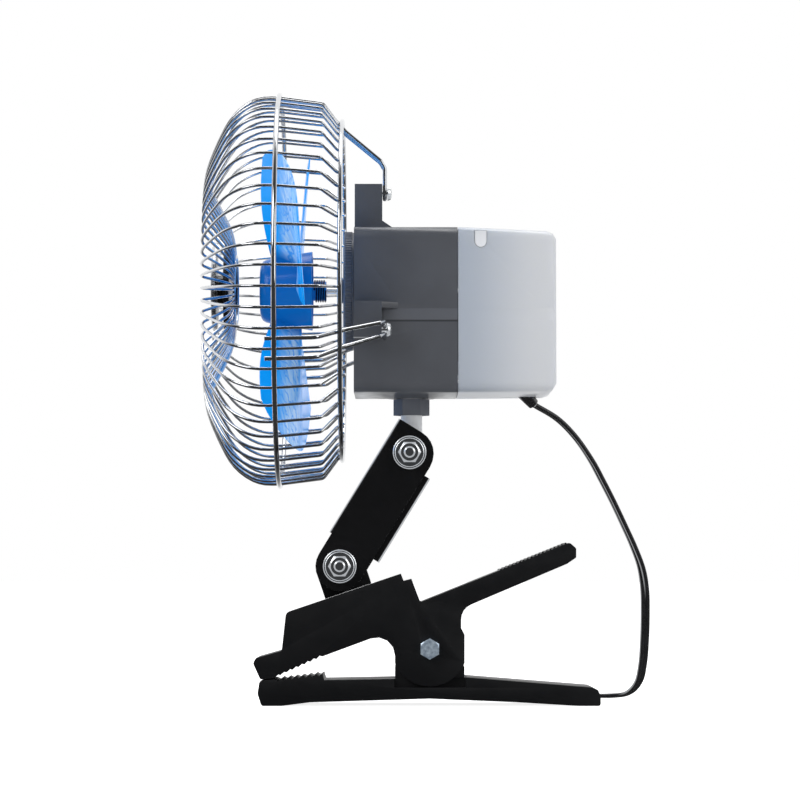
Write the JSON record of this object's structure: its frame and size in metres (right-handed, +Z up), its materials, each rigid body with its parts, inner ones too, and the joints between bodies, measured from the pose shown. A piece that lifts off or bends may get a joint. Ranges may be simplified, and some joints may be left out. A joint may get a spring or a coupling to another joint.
{
  "type": "oscillating clip fan",
  "caption": "Small oscillating fan in a round wire guard, on a folded steel arm that tilts at both ends and a spring clip with a ribbed handle; flat lead with a vehicle plug.",
  "frame": {"origin": "on the floor under the middle of the fan, cord and plug left out", "axes": "+X towards the back of the motor housing (the fan blows towards -X), +Y to the fan's left as it faces you, +Z up"},
  "size_m": [0.2282, 0.3841, 0.3086],
  "materials": {
    "clip_plastic": "satin moulded black plastic",
    "housing_plastic": "satin dark grey plastic",
    "cover_plastic": "glossy pale grey plastic, slightly see-through",
    "post_plastic": "satin light grey plastic",
    "nose_plastic": "glossy black plastic",
    "rotor_plastic": "clear blue plastic",
    "black_steel": "black painted steel sheet",
    "zinc": "bright zinc plated steel",
    "spring_steel": "oiled spring wire",
    "chrome": "chrome plated wire",
    "badge_black": "glossy black plastic",
    "badge_silver": "plain satin foil",
    "cord_skin": "soft black cable jacket",
    "brass": "plain brass",
    "nylon": "natural nylon"
  },
  "bodies": {
    "lower_jaw": {"lower_jaw": "clip_plastic", "clip_pivot_bolt": "zinc", "clip_pivot_nut": "zinc", "clip_spring": "spring_steel"},
    "upper_jaw": {"upper_jaw": "clip_plastic", "jaw_bracket": "black_steel", "bracket_screw_front": "zinc", "bracket_screw_rear": "zinc"},
    "arm": {"arm_front_channel": "black_steel", "arm_rear_channel": "black_steel", "lower_joint_bolt": "zinc", "lower_joint_nut": "zinc", "lower_washer_near": "zinc", "lower_washer_far": "zinc", "upper_joint_bolt": "zinc", "upper_joint_nut": "zinc", "upper_washer_near": "zinc", "upper_washer_far": "zinc"},
    "neck": {"neck_post": "post_plastic", "neck_collar": "housing_plastic", "spindle_nut": "zinc", "fixed_lever": "zinc", "crank_link": "zinc"},
    "head": {"front_housing": "housing_plastic", "rear_cover": "cover_plastic", "cord_boot": "cord_skin", "cover_screw_near": "zinc", "cover_screw_far": "zinc", "switch_bezel": "clip_plastic", "motor_nose": "nose_plastic", "motor_can": "zinc", "gear_case": "clip_plastic", "guard_spokes_near_upper": "chrome", "guard_spokes_far_upper": "chrome", "guard_spokes_far_lower": "chrome", "guard_spokes_near_lower": "chrome", "guard_front_ring": "chrome", "guard_rear_ring": "chrome", "guard_bracket_near": "chrome", "guard_bracket_top": "chrome", "guard_bracket_far": "chrome", "guard_screw_near": "zinc", "guard_screw_top": "zinc", "guard_screw_far": "zinc", "badge_disc": "badge_black", "badge_cap": "badge_silver", "cord_tube": "cord_skin", "cord_coil": "cord_skin", "cord_tail": "cord_skin", "plug_body": "clip_plastic", "plug_contact_left": "brass", "plug_contact_right": "brass"},
    "rotor": {"fan_rotor": "rotor_plastic", "hub_clamp": "spring_steel", "motor_shaft": "zinc", "worm": "brass"},
    "crank_wheel": {"worm_wheel": "nylon"},
    "rocker": {"switch_rocker": "clip_plastic"},
    "plug_tip": {"plug_tip": "brass"}
  },
  "joints": [
    {"name": "clip_open", "type": "hinge", "parent": "lower_jaw", "child": "upper_jaw", "pos_m": [0.014, 0, 0.0283], "axis": [0, 1, 0], "range_deg": [0, 22], "stiffness_Nm_per_rad": 1.5, "springref_deg": -57.3, "deforming": ["clip_spring"]},
    {"name": "lower_tilt", "type": "hinge", "parent": "upper_jaw", "child": "arm", "pos_m": [-0.031, 0, 0.0693], "axis": [0, 1, 0], "range_deg": [-30, 15]},
    {"name": "upper_tilt", "type": "hinge", "parent": "arm", "child": "neck", "pos_m": [0.004, 0, 0.1264], "axis": [0, 1, 0], "range_deg": [-20, 25]},
    {"name": "oscillation", "type": "hinge", "parent": "neck", "child": "head", "pos_m": [0.005, 0, 0.155], "axis": [0, 0, 1], "range_deg": [-35, 35]},
    {"name": "blade_spin", "type": "hinge", "parent": "head", "child": "rotor", "pos_m": [-0.05, 0, 0.2085], "axis": [1, 0, 0], "continuous": true},
    {"name": "crank_turn", "type": "hinge", "parent": "head", "child": "crank_wheel", "pos_m": [0.048, -0.0124, 0.2085], "axis": [0, 0, 1], "continuous": true},
    {"name": "switch_rock", "type": "hinge", "parent": "head", "child": "rocker", "pos_m": [0.0708, -0.016, 0.222], "axis": [0, 1, 0], "range_deg": [-8, 8]},
    {"name": "plug_tip_press", "type": "slide", "parent": "head", "child": "plug_tip", "axis": [0, -1, 0], "range_m": [0, 0.003], "stiffness_N_per_m": 400, "springref_m": -0.004}
  ],
  "couplings": [
    {"joint": "crank_turn", "follows": "blade_spin", "ratio": 0.0625}
  ]
}
